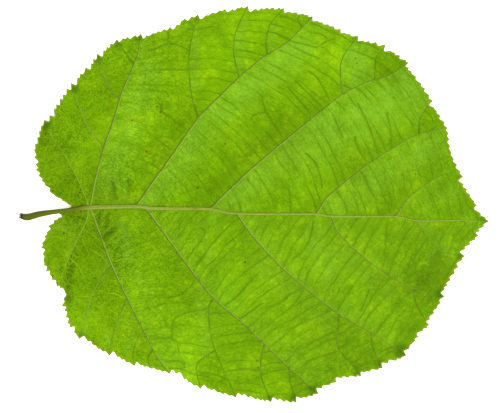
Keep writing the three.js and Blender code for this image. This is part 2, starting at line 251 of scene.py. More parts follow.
# Where the mesh has its points: across a rib in shares of its radius, and along it.
ROUND_SECTION = (-1.12, -0.99, -0.94, -0.75, -0.42, 0, 0.42, 0.75, 0.94, 0.99, 1.12)
RIB_SECTION = (-2.1, -1.1, -0.85, -0.45, 0, 0.45, 0.85, 1.1, 2.1)
VEIN_SECTION = (-2, 0, 2)
MIDRIB_STEP = 0.5
RIB_STEP = 0.5
CROSS_STEP = 0.7
BLADE_STEP = 0.62
FLECK_RINGS = (0, 0.6, 1.1, 1.6)
SLIT_STEP = 0.25
SLIT_SIDES = (-0.04, 0.04)
# How near to the points before it a new point may lie.
CLEARANCES = {"slit": 0.02, "midrib": 0.03, "rib": 0.09, "cross": 0.12, "blade": 0.4}
MERGE_DISTANCE = 0.012
INSIDE_ONLY = 1  # the kind of triangulation that keeps only what the outline holds

# How the two faces are shaped.
RELIEF_START = 0.02
RIM_FADE = 0.5
QUILT_WIDTH = 0.9
FURROW = 0.35
MIDRIB_FURROW = 0.6
ROD_REACH = 1.005
STEEPEST = 0.985
# What the finish is told of each point.
FLANK_WIDTH = 5
FARTHEST = 6
GAP_APART = 50
STALK_FADE = {"start": 1.5, "length": 5}
# The map of the two faces: its margin, and the width of the rim laid out beside the lower face.
MAP_MARGIN = 0.01
SKIRT_WIDTH = 0.0002

# Painted shade on the teeth at the rib ends, where the margin bends down: place, radius and strength.
SHADED_TEETH = [
    ((-10.8, 20.9), 1.8, 1), ((-3.6, 30.3), 2.2, 0.8), ((1.8, 37.2), 2, 0.8), ((7, 40.8), 2, 0.7),
    ((12.4, 42.6), 1.8, 0.7), ((27.2, 47.4), 1.8, 0.6), ((40, 49.9), 1.3, 0.5), ((56, 47), 2, 0.5),
    ((49, 49.2), 1.4, 0.4), ((79.2, 36), 1.6, 0.4), ((89.4, 19.8), 1.4, 0.4), ((99, -3.2), 1.6, 0.8),
    ((93, -11.9), 1.8, 0.8), ((88, -21.8), 2.2, 0.9), ((84.6, -29), 1.4, 0.6), ((78.2, -35.9), 2.6, 1),
    ((72.8, -39), 2.2, 0.8), ((67, -41), 2.4, 0.6), ((56.2, -45.4), 2.4, 0.9),
    ((51.4, -47.6), 1.9, 0.9), ((45.2, -47.8), 1.9, 0.8), ((36.4, -46.4), 1.6, 0.4),
    ((4.8, -36), 1.6, 0.5), ((-2.2, -32), 2, 0.6), ((-9, -3.6), 2, 0.5), ((-5.4, -22.6), 2.4, 0.8),
]
# Strips of the blade with a colour of their own: from, to, width and strength. A strip stays in
# the gap between ribs that its middle lies in.
STRIPS = {
    # Painted sheen: the bluish gloss on pleat flanks that face the lamp.
    "painted_sheen": [
        ((14, 2), (29, 21), 4, 0.9), ((29, 21), (52, 40), 4, 0.85), ((34, 1.5), (53, 16.5), 3.8, 0.8),
        ((53, 16.5), (80, 29), 7, 0.9), ((61, 0.5), (86, 15.5), 4.5, 0.7),
        ((3.8, 5), (14, 34), 4, 0.75), ((37.6, 47), (37.6, 35), 1.3, 0.6),
        ((26.3, 46), (26.5, 30), 1.1, 0.5), ((46, 46), (45.2, 40), 1.2, 0.4),
        ((64, 40), (67, 33.5), 4.5, 1), ((77, 33), (84, 24), 4, 0.9), ((84, 4), (91, 4), 3, 0.4),
        ((56, -7), (60, -17), 3, 0.7), ((8, -4.5), (10, -13), 1.3, 0.9),
        ((5.5, -9.5), (3.4, -17), 1, 0.6), ((28, -4), (30, -13), 1.3, 0.4),
        ((27.8, -21), (29.2, -35), 1.6, 0.35), ((5.2, -31), (4.2, -36), 0.9, 0.5),
        ((11, -26), (10, -36), 1, 0.4), ((0.2, -25), (-1.4, -31), 0.9, 0.4),
        ((10.5, -14.5), (15.5, -22), 1.3, 0.5), ((-9, -3.6), (-3, -5), 1.6, 0.7),
        ((4.9, 2), (5.8, 9), 0.7, 0.7), ((8.6, 2), (9.6, 8), 0.7, 0.8), ((62, -10), (74, -20), 3, 0.4),
        ((44, -14), (60, -28), 3, 0.35), ((86, -12), (91, -15), 2, 0.3),
    ],
    # Painted shade: darker green in folds, by the joint and on rib flanks turned from the lamp.
    "deep": [
        ((30.5, 4.6), (40, 13.6), 2, 0.7), ((40, 13.6), (49, 21.6), 2, 0.65),
        ((14, 8.5), (25, 23.5), 1.7, 0.6), ((-9, 6.5), (-2, 3), 4.5, 0.8),
        ((-11.5, 12), (-10, 18), 4, 0.4), ((-6, -3), (-1, -4), 2, 0.6),
        ((-3.3, -9), (-6.2, -21), 1.8, 1), ((-7.8, -11), (-6.9, -15), 1.5, 0.6),
        ((44, -4), (55, -5), 2, 0.4), ((62, -4), (72, -6), 2, 0.35), ((2, 2), (5, 3), 1.8, 0.6),
        ((2, -5), (3.6, -9), 1.4, 0.5), ((85, 3), (89, 6), 1.8, 0.5), ((91, -8), (93, -10), 1.5, 0.5),
        ((83, -27), (79, -34), 2.5, 0.5), ((66, -6.5), (76, -14.5), 1.8, 0.35),
        ((50, 30), (57, 36), 1.6, 0.3), ((14, 14), (17.5, 17), 1.8, 0.5), ((2, 16), (4, 23), 1, 0.3),
        ((95, 0), (97.6, -2), 1.5, 0.5), ((88, -14), (85, -26), 5, 0.7),
        ((60, -41), (76, -36), 3.5, 0.45), ((-5, -12), (-9.5, -8), 4, 0.3),
        ((84, -8), (92, -5), 3, 0.4), ((6, -3), (14, -8), 2.5, 0.3), ((48, -45), (54, -45), 3, 0.35),
    ],
    # Painted shade along the folds and puckers by the joint and in the lower lobe.
    "crease_shade": [
        ((-4, -11), (-5.3, -20.5), 0.9, 1), ((-6.6, -13), (-7, -15.5), 0.7, 0.7),
        ((-4.6, -2.2), (-1.6, -2.4), 0.9, 0.8), ((2.8, -1), (2.2, -2.8), 0.5, 1),
        ((5, -1), (4.4, -4.6), 0.5, 1), ((6.8, -4.8), (3.9, -7.4), 0.6, 0.9),
        ((1.6, -10.4), (3.2, -9.9), 0.7, 0.6), ((6, 6.2), (6.7, 2.4), 0.45, 1),
        ((9.8, 7), (10.3, 3.4), 0.5, 0.5), ((-1.6, 2.2), (-4.2, 9), 0.9, 0.6),
        ((-12.4, 17), (-10.8, 20), 1.2, 0.6), ((-11, 5.4), (-7.4, 3.2), 0.9, 0.4),
    ],
    "fresh": [
        ((62, 12), (76, 22), 4, 0.5), ((64, 36), (76, 30), 4, 0.4), ((33, 18), (42, 27), 3, 0.6),
        ((12, 22), (19, 38), 5, 0.5), ((-2, -28), (12, -37), 4, 0.8), ((22, -28), (32, -34), 4, 0.4),
        ((27, 7.4), (32, 11), 2, 0.9), ((48, -39), (56, -36), 3, 0.5), ((76, 20), (74, 26), 2, 0.6),
        ((63, 20), (68, 24), 2, 0.5), ((90, 2), (93, 5), 2, 0.4), ((-3, 20), (0, 30), 3, 0.4),
        ((52, 3), (56, 8), 3, 0.4), ((30, 43), (34, 46), 3, 0.3), ((80, -12), (86, -17), 3, 0.3),
    ],
}
# Broad places that are a little lighter or darker than the rest, partly the blade's own uneven
# tone and partly painted light and shade: place, radius and amount.
LIGHT_AND_SHADE = [
    ((46, 45), 11, 0.2), ((34, 36), 8, 0.18), ((57, 35), 8, 0.13), ((69, 35), 8, 0.15),
    ((12, 35), 6, 0.14), ((12, 19), 8, 0.2), ((33, 25), 6, 0.14), ((76, 23), 7, 0.15),
    ((66, 22), 5, 0.1), ((67, 6), 6, -0.08), ((56, 7), 6, 0.12), ((48, 16), 7, -0.12),
    ((1, 35), 4, -0.12), ((-10, 17), 6, -0.18), ((-8, 7), 7, -0.14), ((1, 5), 6, -0.16),
    ((0, -4), 6, -0.24), ((-9, -13), 6, -0.12), ((2, -11), 6, -0.16), ((0, -22), 5, -0.1),
    ((13, -22), 6, 0.19), ((36, -22), 6, 0.12), ((23, -32), 6, 0.12), ((23, -42), 8, 0.2),
    ((60, -32), 10, -0.13), ((78, -3), 6, -0.14), ((81, -18), 8, -0.2), ((90, -20), 5, -0.12),
    ((66, -42), 7, -0.1), ((76, 36), 7, -0.16), ((90, 15), 5, -0.08), ((24, -20), 6, -0.07),
]
# Small brown flecks: place and radius.
FLECKS = [
    ((14.4, 14.1), 0.3), ((17.9, 24), 0.28), ((34.1, 16), 0.25), ((27.2, 5.1), 0.3),
    ((10.8, 21.9), 0.2), ((39, -13.5), 0.3), ((41.3, -30.6), 0.22), ((42, -38.2), 0.22),
    ((42.3, -39.9), 0.25), ((-9.2, -17), 0.32), ((-8.1, -18.9), 0.35), ((1.5, -17.5), 0.25),
    ((66.6, 37.4), 0.2), ((67, 36.2), 0.2), ((-2, -0.9), 0.25), ((-6.3, -6.3), 0.3), ((81.6, 8.4), 0.2),
    ((85.1, -29.1), 0.3), ((13.3, 4.6), 0.16), ((49.5, -22.6), 0.2),
]


def smooth_line(points, step):
    """Points about step apart on a Catmull-Rom curve through the given ones."""
    given = np.array(points, float)
    ends = np.vstack([2 * given[0] - given[1], given, 2 * given[-1] - given[-2]])
    t = np.linspace(0, 1, 12, endpoint=False)[:, None]
    spans = [
        b + 0.5 * (t * (c - a) + t**2 * (2 * a - 5 * b + 4 * c - d) + t**3 * (3 * b - a - 3 * c + d))
        for a, b, c, d in zip(ends, ends[1:], ends[2:], ends[3:])
    ]
    return evenly(np.vstack([*spans, given[-1:]]), step)


def lengths_along(line):
    """The length of the line up to each of its points."""
    return np.append(0, np.cumsum(np.linalg.norm(np.diff(line, axis=0), axis=1)))


def at_lengths(line, lengths):
    """The points that lie at these lengths along the line."""
    along = lengths_along(line)
    return np.stack([np.interp(lengths, along, line[:, i]) for i in (0, 1)], 1)


def evenly(line, step):
    """The line with its points about step apart."""
    length = lengths_along(line)[-1]
    return at_lengths(line, np.linspace(0, length, max(2, round(length / step) + 1)))


def sideways(line):
    """Unit vectors to the left of the line at each of its points."""
    ahead = np.gradient(line, axis=0)
    ahead /= np.linalg.norm(ahead, axis=1)[:, None]
    return np.stack([-ahead[:, 1], ahead[:, 0]], 1)


def nearest_place(line, point):
    """The index of the line's point that is nearest to the given one."""
    return int(np.argmin(np.linalg.norm(line - np.array(point), axis=1)))


def midrib_radius(x):
    """The radius of the stalk and midrib at a place along X."""
    places, radii = zip(*MIDRIB_RADII)
    return np.interp(x, places, radii)


class Vein:
    """A line in plan with a radius at each of its points."""

    def __init__(self, line, start, end):
        self.line = line
        self.radius = np.linspace(start, end, len(line))

    def section(self, shares):
        """Points across the vein, at these shares of its radius to either side."""
        aside = sideways(self.line) * self.radius[:, None]
        return np.vstack([self.line + aside * share for share in shares])


class Rib(Vein):
    """A side rib or a fork, and the finer ribs that fork from it."""

    def __init__(self, points, forks=(), kind="side"):
        line = smooth_line(points, RIB_STEP)
        length = lengths_along(line)
        start, end, _ = RIB_SIZES[kind]
        size = 1
        if kind == "side":
            size = RIB_TAPER["least"] + RIB_TAPER["more"] * min(1, length[-1] / RIB_TAPER["long"])
            size *= 1 - line[0, 0] / RIB_TAPER["end"]
        super().__init__(line, start * size, end * size)
        self.radius *= 1 + RIB_FOOT["wider"] * np.exp(-length / RIB_FOOT["length"])
        self.forks = [Rib(*fork, kind="fork") for fork in forks]

    def all_forks(self):
        """Every finer rib that grows from this one, at any depth."""
        for fork in self.forks:
            yield fork
            yield from fork.all_forks()


class Gap:
    """The stretch of blade between two ribs, ruled across from its near side to its far side."""

    def __init__(self, near, far):
        self.sides = near, far
        self.length = sum(lengths_along(side)[-1] for side in self.sides) / 2

    def across(self, share, sway, bow):
        """A line across the gap at a share of the way along it, with a turn aside at each bend."""
        start, end = (
            at_lengths(side, [share * lengths_along(side)[-1]])[0] for side in self.sides
        )
        aside = np.array([start[1] - end[1], end[0] - start[0]])
        places = np.linspace(0, 1, len(sway) + 2)[1:-1]
        bends = [
            start + (end - start) * place + aside * (turn + bow * math.sin(math.pi * place))
            for place, turn in zip(places, sway)
        ]
        return smooth_line([start, *bends, end], CROSS_STEP)

    def grid(self, spacing=0.35):
        """Places all over the gap, and how far along and across the gap each of them lies."""
        rows = max(8, int(self.length / spacing))
        near, far = (
            at_lengths(side, np.linspace(0, lengths_along(side)[-1], rows)) for side in self.sides
        )
        width = np.linalg.norm(far - near, axis=1)
        columns = max(6, int(width.max() / spacing))
        share = ((np.arange(columns) + 0.5) / columns)[:, None]
        places = near[:, None] * (1 - share) + far[:, None] * share
        along = np.broadcast_to(lengths_along((near + far) / 2)[:, None], places.shape[:2])
        return places, np.stack([along, share[:, 0] * width[:, None]], 2)


def gaps_between(parent, ribs):
    """The gaps between neighbouring ribs that grow from one side of a parent, at any depth."""
    places = [nearest_place(parent, rib.line[0]) for rib in ribs] + [len(parent) - 1]
    for i, rib in enumerate(ribs):
        far = [parent[places[i] : places[i + 1] + 1]]
        if i + 1 < len(ribs):
            upper = ribs[i + 1]
            fork = upper.forks[0].line if upper.forks else upper.line[-1:]
            far += [upper.line[: nearest_place(upper.line, fork[0]) + 1], fork]
        yield Gap(rib.line, np.vstack(far))
        yield from gaps_between(rib.line, rib.forks)


def ladder(gap, drawn, chance):
    """Cross veins over a gap, like rungs, except where stronger ones are drawn already."""
    count = int(gap.length / RUNGS["spacing"])
    for i in range(1, count + 1):
        share = (i + chance.uniform(-RUNGS["stray"], RUNGS["stray"])) / (count + 0.5)
        rung = gap.across(share, chance.normal(0, RUNGS["sway"], RUNGS["bends"]), RUNGS["bow"])
        long_enough = np.linalg.norm(rung[-1] - rung[0]) > SHORTEST_RUNG
        near_strong = distances(drawn, rung) < NEAR_STRONG["distance"]
        if long_enough and near_strong.mean() < NEAR_STRONG["share"]:
            yield rung


def tree_of(points):
    """A search tree of points in plan."""
    tree = KDTree(len(points))
    for i, (x, y) in enumerate(points):
        tree.insert((x, y, 0), i)
    tree.balance()
    return tree


def nearest_indexes(tree, plan):
    """For each point in plan, the index of the nearest point in the tree."""
    return np.array([tree.find((x, y, 0))[1] for x, y in plan])


def distances(tree, plan):
    """For each point in plan, its distance to the nearest point in the tree."""
    return np.array([tree.find((x, y, 0))[2] for x, y in plan])


class VeinMap:
    """Finds the nearest of several veins for any points in plan."""

    def __init__(self, veins):
        self.points = np.vstack([vein.line for vein in veins])
        self.radius = np.concatenate([vein.radius for vein in veins])
        last = np.cumsum([len(vein.line) for vein in veins]) - 1
        first = np.append(0, last[:-1] + 1)
        index = np.arange(len(self.points))
        self.neighbours = [
            np.where(np.isin(index, first), index, index - 1),
            np.where(np.isin(index, last), index, index + 1),
        ]
        self.tree = tree_of(self.points)

    def nearest(self, plan):
        """Each point's distance to the nearest vein, that vein's radius there, and the place."""
        index = nearest_indexes(self.tree, plan)
        here = self.points[index]
        distance = np.linalg.norm(plan - here, axis=1)
        for neighbour in self.neighbours:
            along = self.points[neighbour[index]] - here
            square = np.maximum((along**2).sum(1), 1e-9)
            share = np.clip(((plan - here) * along).sum(1) / square, 0, 1)
            past = plan - here - along * share[:, None]
            distance = np.minimum(distance, np.linalg.norm(past, axis=1))
        return distance, self.radius[index], here


class GapMap:
    """Finds where in the gaps between the ribs any points in plan lie."""

    LEAST_CELL = 0.01
    REACH = 4

    def __init__(self, gaps):
        grids = [gap.grid() for gap in gaps]
        self.places, self.weave = (
            np.vstack([grid[part].reshape(-1, 2) for grid in grids]) for part in (0, 1)
        )
        self.gap = np.repeat(np.arange(len(gaps)), [places[..., 0].size for places, _ in grids])
        self.steps, self.changes = (
            [
                np.vstack([np.gradient(grid[part], axis=axis).reshape(-1, 2) for grid in grids])
                for axis in (0, 1)
            ]
            for part in (0, 1)
        )
        self.tree = tree_of(self.places)

    def find(self, plan):
        """Each point's gap, and its distances along and across it."""
        index = nearest_indexes(self.tree, plan)
        (along_x, along_y), (across_x, across_y) = (step[index].T for step in self.steps)
        x, y = (plan - self.places[index]).T
        area = along_x * across_y - along_y * across_x
        area = np.where(np.abs(area) < self.LEAST_CELL, np.copysign(self.LEAST_CELL, area), area)
        shares = [(x * across_y - y * across_x) / area, (along_x * y - along_y * x) / area]
        moved = [
            np.clip(share, -self.REACH, self.REACH)[:, None] * change[index]
            for share, change in zip(shares, self.changes)
        ]
        return self.gap[index], self.weave[index] + moved[0] + moved[1]


def distance_to_segment(plan, start, end):
    """Each point's distance to the straight line from start to end."""
    start, along = np.array(start), np.subtract(end, start)
    share = np.clip((plan - start) @ along / (along @ along), 0, 1)
    return np.linalg.norm(plan - start - share[:, None] * along, axis=1)


def inside(plan, outline):
    """Which points lie inside a closed outline."""
    result = np.zeros(len(plan), bool)
    following = np.roll(outline, -1, 0)
    rise = following[:, 1] - outline[:, 1]
    rise[rise == 0] = 1e-12
    for i in range(0, len(plan), 4000):
        x, y = plan[i : i + 4000, :1], plan[i : i + 4000, 1:]
        crosses = (outline[:, 1] > y) != (following[:, 1] > y)
        place = outline[:, 0] + (y - outline[:, 1]) / rise * (following[:, 0] - outline[:, 0])
        result[i : i + 4000] = (crosses & (x < place)).sum(1) % 2 == 1
    return result


def toothed_side(tips, inward):
    """Outline points along one side of the blade, from the stalk to the tip."""
    chance = np.random.default_rng(MARGIN_SEED)
    line = smooth_line([tip[:2] for tip in tips] + [LEAF_TIP], 0.05)
    places = [nearest_place(line, tip[:2]) for tip in tips] + [len(line) - 1]
    aside, along = sideways(line), lengths_along(line)
    outline = []
    for i, tip in enumerate(tips):
        large_scale = tip[2] if len(tip) > 2 else 1
        small_scale = tip[3] if len(tip) > 3 else 1
        first, last = places[i], places[i + 1]
        teeth = max(1, round((along[last] - along[first]) / SMALL_TOOTH["length"]))
        ends = np.append(0, np.cumsum(chance.uniform(*TOOTH_LENGTHS, teeth)))
        ends /= ends[-1]
        for start, end in zip(ends, ends[1:]):
            size = (end - start) * teeth * chance.uniform(*TOOTH_SIZES)
            for share, depth in TOOTH_SHAPE:
                step = start + share * (end - start)
                place = first + round(step * (last - first))
                fade = (1 - step) ** LARGE_TOOTH["fade"]
                rise = min(1, LARGE_TOOTH["rise"] * depth + step * teeth)
                large = LARGE_TOOTH["depth"] * fade * rise
                cut = large_scale * large + small_scale * SMALL_TOOTH["depth"] * size * depth
                lean = SMALL_TOOTH["lean"] * small_scale * (1 - depth)
                ahead = np.array([aside[place, 1], -aside[place, 0]])
                outline.append(line[place] + aside[place] * inward * cut + ahead * lean)
    return np.array(outline)


# ---------------------------------------------------------------------------------------------
# The leaf's mesh
# ---------------------------------------------------------------------------------------------


class LeafPlan:
    """The leaf's outline and veins in plan, and the heights of its two faces."""

    def __init__(self, sizes):
        self.sizes = sizes
        self.thickness = sizes.blade_thickness / UNIT
        self.rim = sizes.rim_thickness / UNIT
        self.draw_veins()
        self.draw_outline()

    def draw_veins(self):
        """Draws the midrib, the ribs with their forks, and the cross veins."""
        chance = np.random.default_rng(VEIN_SEED)
        self.midrib = Vein(smooth_line(MIDRIB, MIDRIB_STEP), 0, 0)
        self.midrib.radius = midrib_radius(self.midrib.line[:, 0])
        sides = [
            [Rib(self.from_midrib(points), forks) for points, forks in ribs]
            for ribs in (LEFT_RIBS, RIGHT_RIBS)
        ]
        self.ribs = sides[0] + sides[1]
        self.forks = [fork for rib in self.ribs for fork in rib.all_forks()]
        strong = [smooth_line(points, CROSS_STEP) for points in STRONG_CROSS_VEINS]
        drawn = tree_of(np.vstack(strong))
        joint = nearest_place(self.midrib.line, (0, 0))
        lobes = [
            Gap(smooth_line([SINUS] + [tip[:2] for tip in margin[:LOBE_TEETH]], 0.5), ribs[0].line)
            for margin, ribs in ((LEFT_MARGIN, sides[0]), (RIGHT_MARGIN, sides[1]))
        ]
        gaps = [gap for ribs in sides for gap in gaps_between(self.midrib.line[joint:], ribs)]
        self.gaps = lobes + gaps
        rungs = [rung for gap in self.gaps for rung in ladder(gap, drawn, chance)]
        start, end, _ = RIB_SIZES["cross"]
        self.strong = [Vein(line, STRONG_VEIN * start, end) for line in strong]
        self.rungs = [
            Vein(line, start * size, end * size)
            for line, size in zip(rungs, chance.uniform(*RUNG_SIZES, len(rungs)))
        ]
        self.gap_map = GapMap(self.gaps)
        self.maps = {
            "midrib": VeinMap([self.midrib]),
            "side": VeinMap(self.ribs),
            "fork": VeinMap(self.forks),
            "strong": VeinMap(self.strong),
            "cross": VeinMap(self.rungs),
        }

    def from_midrib(self, points):
        """A side rib's points with one more before them, on the midrib, where it branches off."""
        place = nearest_place(self.midrib.line, points[0])
        return [tuple(self.midrib.line[max(place - 2, 0)])] + points

    def draw_outline(self):
        """Draws the blade's margin and the outline of the blade and stalk together."""
        left, right = toothed_side(LEFT_MARGIN, -1), toothed_side(RIGHT_MARGIN, 1)
        self.blade = np.vstack([[SINUS], right, [LEAF_TIP], left[::-1]])
        line, radius = self.midrib.line, self.midrib.radius
        aside = sideways(line) * radius[:, None]
        backward = np.array([-aside[0, 1], aside[0, 0]]) / radius[0]
        scar = [
            line[0] + aside[0] * share + backward * (SCAR_REACH + beyond)
            for beyond, share in STALK_SCAR
        ]
        stalk_left, stalk_right = (
            (line + aside * turn)[line[:, 0] < margin[0, 0] - JOIN_GAP][1:]
            for margin, turn in ((left, 1), (right, -1))
        )
        self.outline = np.vstack(
            [stalk_right[::-1], scar[::-1], stalk_left, left, [LEAF_TIP], right[::-1]]
        )

    def blade_height(self, plan):
        """The height of the blade's lower face above the table."""
        across = (plan[:, 0] - DOME["x"]) / DOME["half_length"]
        along = (plan[:, 1] - DOME["y"]) / DOME["half_width"]
        outward, angle = np.hypot(across, along), np.arctan2(along, across)
        dome = DOME["height"] * (1 - outward**2)
        to_midrib = self.maps["midrib"].nearest(plan)[0]
        to_rib = self.maps["side"].nearest(plan)[0]
        keel = KEEL["height"] * np.exp(-to_midrib / KEEL["width"])
        pleat = PLEAT["height"] * (np.exp(-((to_rib / PLEAT["width"]) ** 2)) - 0.5)
        waves = sum(
            wave["height"] * np.sin(wave["waves"] * angle + wave["turn"]) for wave in (RIM_WAVE, RIM_RIPPLE)
        )
        height = dome + keel + pleat + outward**3 * waves
        for start, end, rise, width in FOLDS + PUCKERS:
            height += rise * np.exp(-((distance_to_segment(plan, start, end) / width) ** 2))
        soft = TABLE_SOFTNESS
        return np.where(height < 2 * soft, np.maximum(height, 0) ** 2 / (4 * soft), height - soft)

    def mesh_points(self):
        """Points in plan for the mesh: the outline first, then veins, flecks and the open blade."""
        low, high = self.outline.min(0), self.outline.max(0)
        rows = np.arange(low[1], high[1], BLADE_STEP * math.sqrt(3) / 2)
        columns = np.arange(low[0], high[0], BLADE_STEP)
        x, y = np.meshgrid(columns, rows)
        x[1::2] += BLADE_STEP / 2
        open_blade = np.stack([x.ravel(), y.ravel()], 1)
        turns = np.linspace(0, 2 * math.pi, 8, endpoint=False)
        ring = np.stack([np.cos(turns), np.sin(turns)], 1)
        flecks = [np.add(place, ring * size * share) for place, size in FLECKS for share in FLECK_RINGS]
        slits = [
            evenly(np.array([SINUS, margin[0][:2]], float), SLIT_STEP)
            for margin in (LEFT_MARGIN, RIGHT_MARGIN)
        ]
        batches = [
            ("slit", [slit + sideways(slit) * aside for slit in slits for aside in SLIT_SIDES]),
            ("midrib", [self.midrib.section(ROUND_SECTION)]),
            ("rib", [rib.section(RIB_SECTION) for rib in self.ribs]),
            ("rib", [fork.section(RIB_SECTION) for fork in self.forks]),
            ("rib", flecks),
            ("cross", [vein.section(VEIN_SECTION) for vein in self.strong + self.rungs]),
            ("blade", [open_blade]),
        ]
        kept = self.outline
        for kind, pieces in batches:
            points = np.vstack(pieces)
            points = points[inside(points, self.outline)]
            clear = distances(tree_of(kept), points) > CLEARANCES[kind]
            kept = np.vstack([kept, points[clear]])
        return kept


class LeafPoints:
    """Points of the leaf in plan, with the heights of its faces and what the finish needs there."""

    def __init__(self, leaf_plan, plan):
        self.leaf_plan, self.plan = leaf_plan, plan
        self.to_edge = distances(tree_of(leaf_plan.blade), plan)
        self.found = {name: veins.nearest(plan) for name, veins in leaf_plan.maps.items()}
        self.closeness = {
            name: distance / radius for name, (distance, radius, _) in self.found.items()
        }
        distance, radius, _ = self.found["midrib"]
        self.on_rod = distance <= radius * ROD_REACH

    def relief(self):
        """How far the side ribs, their forks and the cross veins stand out of the blade."""
        relief = np.zeros(len(self.plan))
        for name, kind in (("side", "side"), ("fork", "fork"), ("strong", "cross"), ("cross", "cross")):
            proud = RIB_SIZES[kind][2] * self.found[name][1]
            arch = np.sqrt(np.maximum(1 - self.closeness[name] ** 2, 0))
            relief = np.maximum(relief, proud * arch)
        return relief

    def quilt(self):
        """How far the blade sinks between its cross veins."""
        to_cross = np.minimum(self.found["cross"][0], self.found["strong"][0])
        depth = self.leaf_plan.sizes.quilt_depth / UNIT
        return depth * (1 - np.exp(-((to_cross / QUILT_WIDTH) ** 2))) * (1 - np.exp(-self.to_edge))

    def rod(self):
        """The height of the midrib's and stalk's centreline, and how far they arch from it."""
        distance, radius, place = self.found["midrib"]
        on_blade = self.leaf_plan.blade_height(place) + self.leaf_plan.thickness + MIDRIB_LIFT * radius
        at_joint = float(on_blade[np.argmin(np.abs(place[:, 0]))])
        down = np.clip(-place[:, 0] / STALK_LENGTH, 0, 1)
        down = down * down * (3 - 2 * down)
        on_stalk = at_joint + (STALK_REST_HEIGHT - at_joint) * down
        centre = np.where(place[:, 0] > 0, on_blade, on_stalk)
        return centre, radius * np.sqrt(1 - np.minimum(distance / radius, STEEPEST) ** 2)

    def faces(self):
        """The heights of the ribbed face and of the face that lies on the table."""
        leaf_plan, relief = self.leaf_plan, self.relief()
        lie = leaf_plan.blade_height(self.plan)
        centre, arch = self.rod()
        in_blade = self.to_edge > RELIEF_START
        grown = 1 - np.exp(-self.to_edge / RIM_FADE)
        thickness = leaf_plan.rim + (leaf_plan.thickness - leaf_plan.rim) * grown
        upper = lie + thickness + np.where(in_blade, relief - self.quilt(), 0)
        upper = np.where(self.on_rod, np.maximum(upper, centre + arch), upper)

        _, radius, place = self.found["midrib"]
        under_midrib = MIDRIB_FURROW * radius * np.exp(-(self.closeness["midrib"] ** 2))
        furrow = FURROW * np.maximum(relief, np.where(place[:, 0] > 0, under_midrib, 0))
        lower = lie + np.where(in_blade, furrow, 0)

        beyond_blade = self.on_rod & (self.plan[:, 0] < 0) & ~inside(self.plan, leaf_plan.blade)
        upper = np.where(beyond_blade, centre + arch, upper)
        lower = np.where(beyond_blade, centre - arch, lower)
        return upper, lower

    def away_from(self, place, size):
        """Each point's distance from a place, in sizes."""
        return np.linalg.norm(self.plan - place, axis=1) / size

    def strip(self, gap, start, end, width, most):
        """How strongly a strip's colour shows at each point."""
        middle = np.add([start], [end]) / 2
        in_gap = gap == self.leaf_plan.gap_map.find(middle)[0]
        away = distance_to_segment(self.plan, start, end)
        return in_gap * most * np.exp(-((away / width) ** 2))

    def details(self):
        """What the finish needs to know of each point."""
        gap, weave = self.leaf_plan.gap_map.find(self.plan)
        details = {name: np.minimum(values, FARTHEST) for name, values in self.closeness.items()}
        for name, strips in STRIPS.items():
            details[name] = np.max([self.strip(gap, *strip) for strip in strips], 0)
        # Painted shade on the teeth at the rib ends.
        details["tooth_shade"] = np.max(
            [most * np.exp(-(self.away_from(place, size) ** 2)) for place, size, most in SHADED_TEETH], 0
        )
        details["fleck"] = np.max(
            [np.clip(FLECK_RINGS[-1] - self.away_from(*fleck), 0, 1) for fleck in FLECKS], 0
        )
        # Painted light and shade over broad places, partly the blade's own uneven tone.
        details["light"] = sum(
            (amount * np.exp(-(self.away_from(place, size) ** 2)) for place, size, amount in LIGHT_AND_SHADE), 1
        )
        side_distance, _, side_place = self.found["side"]
        # The side of each side rib towards the stalk takes painted shade, and the other side painted sheen.
        details["stalk_side"] = (side_place[:, 0] > self.plan[:, 0]).astype(float)
        details["flank"] = np.exp(-((side_distance / FLANK_WIDTH) ** 2))
        stalk = np.clip((STALK_FADE["start"] - self.plan[:, 0]) / STALK_FADE["length"], 0, 1)
        details["stalk"] = np.where(self.on_rod, stalk, 0)
        details["margin"] = np.exp(-self.to_edge / RIM_FADE)
        places = [weave[:, 0] + GAP_APART * gap, weave[:, 1], np.zeros(len(gap))]
        details["weave"] = np.column_stack(places) * UNIT
        return details


def deselect_all():
    """Leaves edit mode and deselects every object."""
    if bpy.context.mode != "OBJECT":
        bpy.ops.object.mode_set(mode="OBJECT")
    bpy.ops.object.select_all(action="DESELECT")


def flat_sheet(name, plan, outline_count):
    """A flat sheet of triangles through points in plan, the first of which are its outline."""
    corners, _, faces, _, _, _ = delaunay_2d_cdt(
        [Vector(point) for point in plan],
        [(i, (i + 1) % outline_count) for i in range(outline_count)],
        [],
        INSIDE_ONLY,
        MERGE_DISTANCE,
    )
    corners, faces = np.array(corners), np.array(faces)
    faces = faces[inside(corners[faces].mean(1), plan[:outline_count])]
    used, faces = np.unique(faces, return_inverse=True)
    corners = np.column_stack([corners[used], np.zeros(len(used))])
    mesh = bpy.data.meshes.new(name)
    mesh.from_pydata(corners.tolist(), [], faces.reshape(-1, 3).tolist())
    sheet = bpy.data.objects.new(name, mesh)
    bpy.context.scene.collection.objects.link(sheet)
    return sheet


def to_metres(plan, height):
    """Corners in metres from places in plan and heights above the table."""
    return np.column_stack(
        [
            LEAF_HIGH.x - (PLAN_HIGH.x - plan[:, 0]) * UNIT,
            LEAF_HIGH.y - (PLAN_HIGH.y - plan[:, 1]) * UNIT,
            LEAF_LOW.z + height * UNIT,
        ]
    )


def values_of(collection, field, width=1, kind=np.float32):
    """The values of a field over a mesh's points, corners or faces."""
    values = np.empty(len(collection) * width, kind)
    collection.foreach_get(field, values)
    return values.reshape(-1, width) if width > 1 else values


